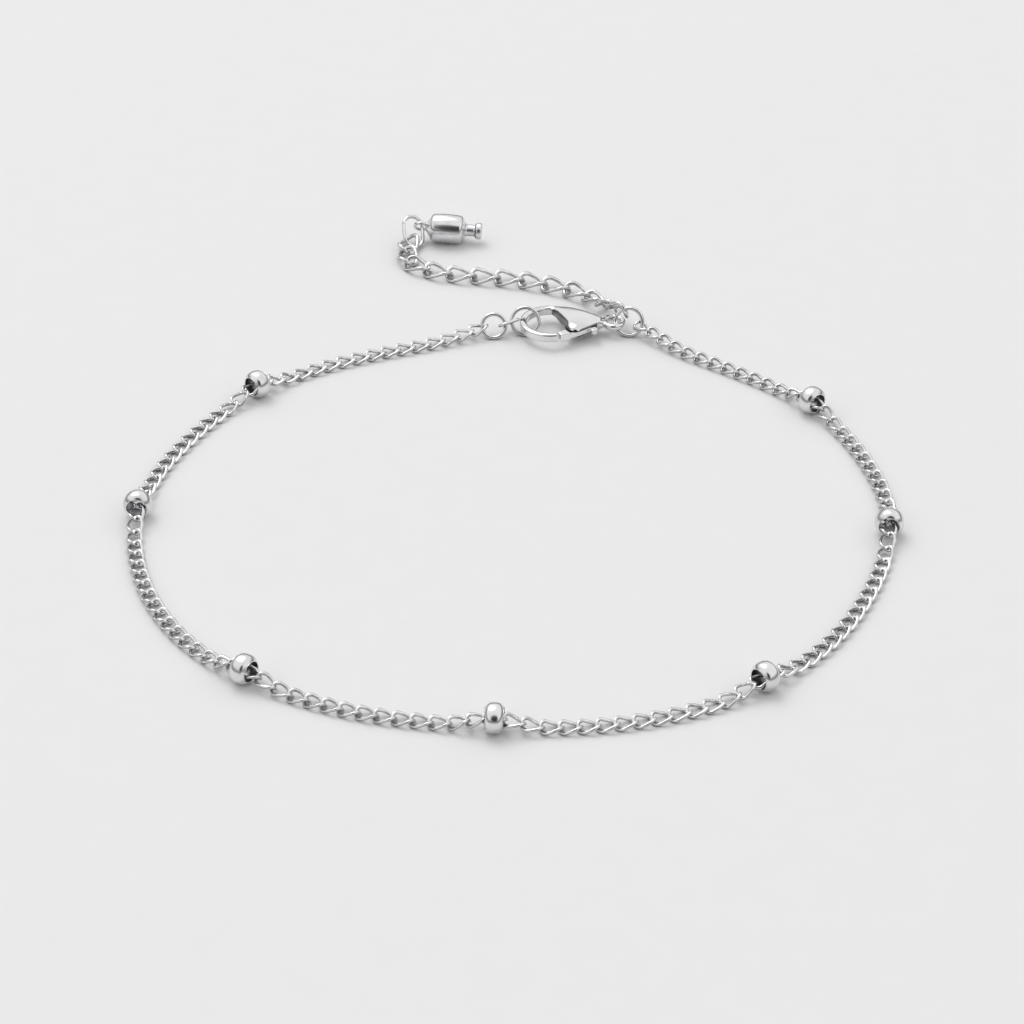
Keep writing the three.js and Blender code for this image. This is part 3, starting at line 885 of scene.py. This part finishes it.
def mouth_outline():
    hole = arc(HOOK_CENTRE, HOOK_INNER, HOLE_START, HOOK_TIP_TURN, 50)
    tip = arc(PIVOT, TIP_RADIUS, TIP_TURN, GATE_END_TURN, 6)[1:]
    corner = arc(CORNER_AT, CORNER_ROUNDING, CORNER_START, CORNER_END, 16)
    cheek = arc(PIVOT, CHEEK_RADIUS, CORNER_END, CHEEK_END, 10)[1:]
    return hole + tip + [BELOW_CORNER] + corner + cheek


def gate_outline():
    end = arc(PIVOT, TIP_RADIUS - GATE_GAP, TIP_TURN, GATE_END_TURN, 6)
    hub = arc(PIVOT, HUB_RADIUS, 0, 90, 8)
    return end + [Vector((PIVOT.x, OUTSIDE)), PIVOT + Vector((HUB_RADIUS, -HUB_RADIUS))] + hub


print("mouth:", len(mouth_outline()), "points, gate:", len(gate_outline()), "points")

# %% [markdown]
# An outline becomes a plate by extruding it, and a pin is a plain cylinder. Both serve as metal
# and as tools: one cuts or fills the other with a boolean, as a punch or a rivet would.

# %% Plates and pins
def plate(name, outline, thickness):
    let_go()
    bpy.ops.mesh.primitive_circle_add(vertices=len(outline), radius=1, fill_type="NGON")
    piece = bpy.context.object
    piece.name = piece.data.name = name
    for vertex, point in zip(piece.data.vertices, outline):
        vertex.co = (point.x, point.y, -thickness / 2)
    pick(piece, "polygons", lambda face: True)
    bpy.ops.mesh.extrude_region_move(TRANSFORM_OT_translate={"value": (0, 0, thickness)})
    return close_up(piece)


def pin(name, radius, height, centre, sides=40):
    let_go()
    bpy.ops.mesh.primitive_cylinder_add(
        vertices=sides, radius=radius, depth=height, location=(centre.x, centre.y, 0),
    )
    piece = bpy.context.object
    piece.name = piece.data.name = name
    bpy.ops.object.transform_apply(location=True)
    return piece


def round_rims(piece, width, segments, angle=48):
    return keep_modifier(
        piece, "BEVEL", width=width, segments=segments, limit_method="ANGLE",
        angle_limit=math.radians(angle), use_clamp_overlap=False,
    )


# %% [markdown]
# A tumbled casting has no crisp edge, and its cheek is worn rounder than the rest. A plain bevel
# leaves it looking machined. So after a fine remesh everything is smoothed a little, and a vertex
# group, strongest in the middle of the cheek, lets a second smoothing wear only that.

# %% Tumbling the cheek
CHEEK_TUMBLING = 260
CHEEK_GRIP = 2.5
CHEEK_CENTRE = Vector((6.35, 0.1))
CHEEK_REACH = Vector((3.4, 3.5))
CHEEK_FULLNESS = 0.7


def swell_at(x, y):
    away = ((x - CHEEK_CENTRE.x) / CHEEK_REACH.x) ** 2 + ((y - CHEEK_CENTRE.y) / CHEEK_REACH.y) ** 2
    return max(0, 1 - away) ** CHEEK_FULLNESS


def tumble_cheek(body, rounds):
    cheek = body.vertex_groups.new(name="cheek")
    for vertex in body.data.vertices:
        cheek.add([vertex.index], min(1, CHEEK_GRIP * swell_at(vertex.co.x, vertex.co.y)), "REPLACE")
    keep_modifier(body, "SMOOTH", factor=0.5, iterations=rounds, vertex_group="cheek")
    body.vertex_groups.clear()


print("swelling at the cheek and at the hook:", swell_at(*CHEEK_CENTRE), swell_at(0, 0))

# %% [markdown]
# The casting is the egg less the mouth, with the tail eye grown on its neck. After the remesh the
# hook and the neck are drawn thinner and the cheek stays full, so its faces are domed. The eye is
# left as thick as its wire.

# %% The cast body
EYE_BEND = 1.05
EYE_WIRE = 0.38
EYE_SUNK = 0.25
BODY_RIM = 0.33
BODY_GRAIN = 0.07
BODY_TUMBLING = 12
THINNED = 0.7
SWELLING = 0.56
EYE_STARTS = 8.4
EYE_BLEND = 1.2


def cast_body():
    body = plate("clasp_casting", egg_outline(), CLASP_THICKNESS)
    cut(body, plate("mouth", mouth_outline(), 2 * CLASP_THICKNESS))
    round_rims(body, BODY_RIM, 5)
    let_go()
    bpy.ops.mesh.primitive_torus_add(
        major_segments=48, minor_segments=16, major_radius=EYE_BEND, minor_radius=EYE_WIRE,
        location=(CLASP_LENGTH + EYE_BEND + EYE_WIRE - EYE_SUNK, 0, 0),
    )
    eye = bpy.context.object
    bpy.ops.object.transform_apply(location=True)
    cut(body, eye, "UNION")
    keep_modifier(body, "REMESH", mode="VOXEL", voxel_size=BODY_GRAIN)
    keep_modifier(body, "SMOOTH", factor=0.5, iterations=BODY_TUMBLING)
    tumble_cheek(body, CHEEK_TUMBLING)
    return body


def dome(body):
    for vertex in body.data.vertices:
        x, y, z = vertex.co
        eye = min(max((x - EYE_STARTS) / EYE_BLEND, 0), 1)
        vertex.co.z = z * (THINNED + SWELLING * swell_at(x, y)) * (1 - eye) + z * eye


casting = cast_body()
dome(casting)
print("casting:", len(casting.data.polygons), "faces, spans", spans(casting))

# %% [markdown]
# The gate turns in a slot that is milled between two cheeks, on a pin through both. The slot has
# crisp edges, so it is cut after the smoothing.

# %% Slot and pin
TONGUE = 0.6
PIN_RADIUS = 0.34
SLOT_LEFT = PIVOT.x - CHEEK_RADIUS - HUB_RADIUS
SLOT_RIGHT = PIVOT.x + 2 * HUB_RADIUS + GATE_GAP


def slot_outline():
    back = PIVOT.y + HUB_RADIUS + GATE_GAP
    return [
        Vector((SLOT_LEFT, OUTSIDE)), Vector((SLOT_RIGHT, OUTSIDE)),
        Vector((SLOT_RIGHT, back)), Vector((SLOT_LEFT, back)),
    ]


cut(casting, plate("slot", slot_outline(), TONGUE + 2 * GATE_GAP))
cut(casting, pin("pivot_pin", PIN_RADIUS, TONGUE + 4 * GATE_GAP, PIVOT), "UNION")
close_up(casting, 45)
print("slotted casting:", len(casting.data.polygons), "faces")

# %% [markdown]
# The stones in the tumbler don't reach the mouth's inner wall or the slot, so those stay rough, and
# their colour is darkened as painted shade. The wall is told by where it is and by its normal, which
# looks at the hook and neither up nor down. The slot is told by its place alone.

# %% The mouth's rough finish and painted shade
WALL_LEFT, WALL_RIGHT, WALL_TOP = 3.7, 6.2, 2.9
LOOKS_AT_HOOK = -0.55
LOOKS_UP = 0.72
SLOT_STARTS = 4.5
SLOT_MARGIN = 0.01
SLOT_BACK = PIVOT.y + 0.8


def on_wall(face):
    beside_cheek = WALL_LEFT < face.center.x < WALL_RIGHT and face.center.y < WALL_TOP
    return beside_cheek and face.normal.x < LOOKS_AT_HOOK and abs(face.normal.z) < LOOKS_UP


def in_slot(face):
    under_cheek = SLOT_STARTS < face.center.x < SLOT_RIGHT + SLOT_MARGIN and face.center.y < SLOT_BACK
    return under_cheek and abs(face.center.z) < TONGUE / 2 + GATE_GAP + SLOT_MARGIN


mouth_faces = faces_where(casting, lambda face: on_wall(face) or in_slot(face))
print("unpolished faces:", len(mouth_faces))

# %% [markdown]
# The clasp lies flat, a little above the table, because the wire of the rings in its hook and its
# tail eye passes below it.

# %% The clasp in its place
CLASP_TURN = 3
CLASP_RAISED = 0.62
CLASP_AT = Vector((0.8, 34.95, CLASP_RAISED + CLASP_THICKNESS / 2)) + ROUTE_SHIFT
CLASP_PLACE = Matrix.Translation(CLASP_AT) @ Matrix.Rotation(math.radians(CLASP_TURN), 4, "Z")
set_down(casting, CLASP_PLACE)
dress(casting, cast, "clasp", "root", "clasp_body")
leave_unpolished_and_shaded(casting, mouth_faces)

# %% [markdown]
# ## The gate
# The gate is a separate small casting. Its outer band carries on the hook's line, a thin tongue
# goes between the cheeks to the pin, and a thumb lug stands out behind it. The three are cut as
# plates, and a remesh and some smoothing make one soft casting of them.

# %% Gate
GATE_THICKNESS = 0.98
GATE_GRAIN = 0.05
GATE_TUMBLING = 24
CHEEK_CLEARANCE = 0.15
PIN_CLEARANCE = 0.08


def sprung_gate():
    gate = plate("gate_casting", gate_outline(), GATE_THICKNESS)
    cut(gate, plate("egg", egg_outline(), CLASP_THICKNESS), "INTERSECT")
    cut(gate, pin("cheeks", CHEEK_RADIUS + CHEEK_CLEARANCE, 2 * CLASP_THICKNESS, PIVOT, sides=96))
    tongue = plate("tongue", gate_outline(), TONGUE)
    cut(tongue, plate("egg", egg_outline(), CLASP_THICKNESS), "INTERSECT")
    lug = PIVOT + Vector((1.5 * HUB_RADIUS, -HUB_RADIUS))
    cut(tongue, pin("thumb", 0.75 * HUB_RADIUS, TONGUE, lug), "UNION")
    cut(gate, tongue, "UNION")
    keep_modifier(gate, "REMESH", mode="VOXEL", voxel_size=GATE_GRAIN)
    keep_modifier(gate, "SMOOTH", factor=0.5, iterations=GATE_TUMBLING)
    cut(gate, pin("pin_hole", PIN_RADIUS + PIN_CLEARANCE, 2 * CLASP_THICKNESS, PIVOT))
    return close_up(gate, 45)


gate = sprung_gate()
print("gate:", len(gate.data.polygons), "faces, spans", spans(gate))
set_down(gate, CLASP_PLACE)
dress(gate, cast, "clasp", "gate", "clasp_gate")

# %% [markdown]
# ## The end drop
# The drop is turned from bar on a lathe: a short cone at its eye, a barrel that is a little
# fuller in its middle, a chamfer, a slim neck and a small flange. It could be a drawn outline on
# a screw modifier. Here a disc is extruded and resized from one diameter to the next, as the
# lathe tool would follow a drawing, and every corner is broken by a fine bevel.

# %% A turned form
BARREL_START, BARREL_STEP, BARREL_STEPS = 0.8, 0.35, 10
BARREL_RADIUS, BARREL_FULLNESS = 1.73, 0.13
BARREL = [
    (BARREL_START + BARREL_STEP * n, BARREL_RADIUS - BARREL_FULLNESS * (2 * n / BARREL_STEPS - 1) ** 2)
    for n in range(BARREL_STEPS + 1)
]
DROP_PROFILE = [(0.0, 0.42), *BARREL, (4.75, 0.69), (5.9, 0.69), (5.9, 0.98), (6.65, 0.98)]


def turned_form(name, start, profile, sides=64):
    let_go()
    bpy.ops.mesh.primitive_circle_add(
        vertices=sides, radius=profile[0][1], fill_type="NGON", location=(start, 0, 0),
        rotation=(0, math.pi / 2, 0),
    )
    piece = bpy.context.object
    piece.name = piece.data.name = name
    bpy.ops.object.transform_apply(location=True, rotation=True)
    pick(piece, "polygons", lambda face: True)
    for (along, radius), (next_along, next_radius) in zip(profile, profile[1:]):
        bpy.ops.mesh.extrude_region_move(TRANSFORM_OT_translate={"value": (next_along - along, 0, 0)})
        share = next_radius / radius
        bpy.ops.transform.resize(value=(1, share, share), center_override=(start + next_along, 0, 0))
    return close_up(piece)


EYE_INSIDE = 0.53
DROP_RIM = 0.24
drop = turned_form("end_drop_turned", EYE_INSIDE, DROP_PROFILE)
round_rims(drop, DROP_RIM, 6, angle=20)
print("drop:", len(drop.data.polygons), "faces, spans", spans(drop))

# %% [markdown]
# The eye is a ring of wire grown into the cone, and it stands as the drop rolled when it was put
# down. The drop rests on its barrel, and its eye goes through the last ring.

# %% Its eye and its place
DROP_ROLL = 30.3
drop_eye = ring_of_wire("drop_eye", width=1.9, wire_size=0.4)
drop_eye.data.transform(Matrix.Rotation(math.radians(90 + DROP_ROLL), 4, "X"))
cut(drop, drop_eye, "UNION")
close_up(drop, 35)
DROP_AT = Vector((-10.74, 56.51, 1.72)) + ROUTE_SHIFT
set_down(drop, leaned(DROP_AT, turn=-4.4, pitch=-2.9), seat="end_drop")
dress(drop, turned, "drop", "root", "end_drop")

# %% [markdown]
# ## The table
# The picture is a pale product shot on a plain light-grey board. The board has hardly any grain,
# but a single flat grey would band, so a fine noise moves it between two near greys. It is stage,
# and no part of the anklet.

# %% Table
TABLE_SIZE = 6
BOARD_GREYS = [(0.0, 0.8), (1.0, 0.82)]


def grey_ramp(nodes, stops):
    ramp = nodes.new("ShaderNodeValToRGB")
    while len(ramp.color_ramp.elements) < len(stops):
        ramp.color_ramp.elements.new(0.5)
    for element, (position, value) in zip(ramp.color_ramp.elements, stops):
        element.position = position
        element.color = (value, value, value, 1)
    return ramp


def pale_table():
    let_go()
    bpy.ops.mesh.primitive_plane_add(size=TABLE_SIZE)
    table = bpy.context.object
    table.name = "pale_table"
    pick(table, "polygons", lambda face: True)
    bpy.ops.mesh.subdivide(number_cuts=4)
    let_go()
    paint = bpy.data.materials.new("pale_board")
    paint.use_nodes = True
    nodes = paint.node_tree.nodes
    shader = nodes["Principled BSDF"]
    shader.inputs["Roughness"].default_value = 0.75
    grain, place = nodes.new("ShaderNodeTexNoise"), nodes.new("ShaderNodeTexCoord")
    ramp = grey_ramp(nodes, BOARD_GREYS)
    grain.inputs["Scale"].default_value = 260
    wire(
        paint.node_tree,
        (place.outputs["Object"], grain.inputs["Vector"]),
        (grain.outputs["Fac"], ramp.inputs["Fac"]),
        (ramp.outputs["Color"], shader.inputs["Base Color"]),
    )
    table.data.materials.append(paint)
    return table


print("table:", pale_table().name)

# %% [markdown]
# ## The light
# A wide softbox hangs above and behind the anklet. It throws a faint shadow towards the camera and
# puts the white streak on top of the beads. An area lamp is used because its size is what makes
# the shadow soft.

# %% Soft light
def softbox(name, place, size, power):
    let_go()
    bpy.ops.object.light_add(type="AREA", location=place)
    lamp = bpy.context.object
    lamp.name = name
    lamp.data.shape = "DISK"
    lamp.data.size = size
    lamp.data.energy = power
    lamp.rotation_euler = (-Vector(place)).to_track_quat("-Z", "Y").to_euler()
    return lamp


print("softbox:", softbox("softbox_behind", place=(-0.6, 0.95, 1.9), size=1.6, power=14.5).name)

# %% [markdown]
# ## The room
# Polished steel shows the room, so the room makes most of the picture. It is almost white
# overhead, dark towards the horizon, as a studio's walls are, and dark where the camera stands.
# The beads and the drop show that as a small dark spot. One ramp runs over the height, another
# over the angle to the camera, and the two are multiplied.

# %% The room
ROOM_STOPS = [(0.0, 0.16), (0.2, 0.26), (0.42, 1.0), (1.0, 0.96)]
ROOM_STRENGTH = 0.94
DARK_GAP = [(0.9, 1.0), (0.945, 0.03)]


def pale_room():
    world = bpy.data.worlds.new("pale_room")
    bpy.context.scene.world = world
    world.use_nodes = True
    nodes = world.node_tree.nodes
    sky = nodes["Background"]
    sky.inputs["Strength"].default_value = ROOM_STRENGTH
    place, aim, both = (
        nodes.new("ShaderNodeTexCoord"), nodes.new("ShaderNodeVectorMath"), nodes.new("ShaderNodeMix"),
    )
    split = nodes.new("ShaderNodeSeparateXYZ")
    height, gap = grey_ramp(nodes, ROOM_STOPS), grey_ramp(nodes, DARK_GAP)
    aim.operation = "DOT_PRODUCT"
    aim.inputs[1].default_value = CAMERA_AT.normalized()
    both.data_type = "RGBA"
    both.blend_type = "MULTIPLY"
    both.inputs["Factor"].default_value = 1
    wire(
        world.node_tree,
        (place.outputs["Generated"], aim.inputs[0]),
        (place.outputs["Generated"], split.inputs["Vector"]),
        (split.outputs["Z"], height.inputs["Fac"]),
        (aim.outputs["Value"], gap.inputs["Fac"]),
        (height.outputs["Color"], both.inputs["A"]),
        (gap.outputs["Color"], both.inputs["B"]),
        (both.outputs["Result"], sky.inputs["Color"]),
    )
    return world


print("room:", pale_room().name)
bpy.context.scene.view_settings.view_transform = "Standard"
